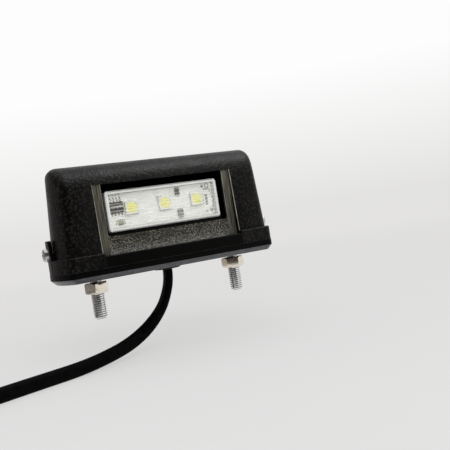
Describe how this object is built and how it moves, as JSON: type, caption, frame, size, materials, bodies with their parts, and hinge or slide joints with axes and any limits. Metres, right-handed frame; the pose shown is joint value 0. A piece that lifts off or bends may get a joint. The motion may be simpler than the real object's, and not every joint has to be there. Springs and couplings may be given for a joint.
{
  "type": "number plate lamp",
  "caption": "Black plastic number plate lamp: a rounded hood with a lit window in its front face, threaded mounting studs and a flat cable below.",
  "frame": {"origin": "middle of the mounting face under the base, halfway between the studs", "axes": "+X along the lamp, -Y out of the window, +Z from the mounting face to the crown"},
  "size_m": [0.1782, 0.0626, 0.073],
  "materials": {
    "cover_plastic": "grained moulding",
    "base_plastic": "fine matt moulding",
    "clear_lens": "clear, fluted inside",
    "white_board": "white solder mask",
    "white_package": "smooth",
    "yellow_phosphor": "smooth gel",
    "dark_component": "matt epoxy",
    "grey_component": "matt epoxy",
    "tan_component": "ceramic",
    "zinc_steel": "bright zinc",
    "screw_steel": "bright nickel",
    "black_rubber": "matt",
    "cable_sheath": "semi-matt sheath",
    "brown_wire": "smooth insulation",
    "white_wire": "smooth insulation",
    "tie_nylon": "smooth nylon"
  },
  "bodies": {
    "root": {"cover": "cover_plastic", "base": "base_plastic", "lens": "clear_lens", "light_tray": "base_plastic", "circuit_board": "white_board", "left_led": "white_package", "middle_led": "white_package", "right_led": "white_package", "left_led_phosphor": "yellow_phosphor", "middle_led_phosphor": "yellow_phosphor", "right_led_phosphor": "yellow_phosphor", "driver_chip": "dark_component", "resistor": "dark_component", "diode": "grey_component", "capacitor": "tan_component", "left_stud": "zinc_steel", "right_stud": "zinc_steel", "left_nut": "zinc_steel", "right_nut": "zinc_steel", "left_cover_screw": "screw_steel", "right_cover_screw": "screw_steel", "grommet": "black_rubber", "lead_inlet": "cable_sheath", "supply_wire": "brown_wire", "return_wire": "white_wire", "lead": "cable_sheath", "lead_coil": "cable_sheath", "supply_core": "brown_wire", "return_core": "white_wire", "coil_tie": "tie_nylon"}
  },
  "joints": []
}
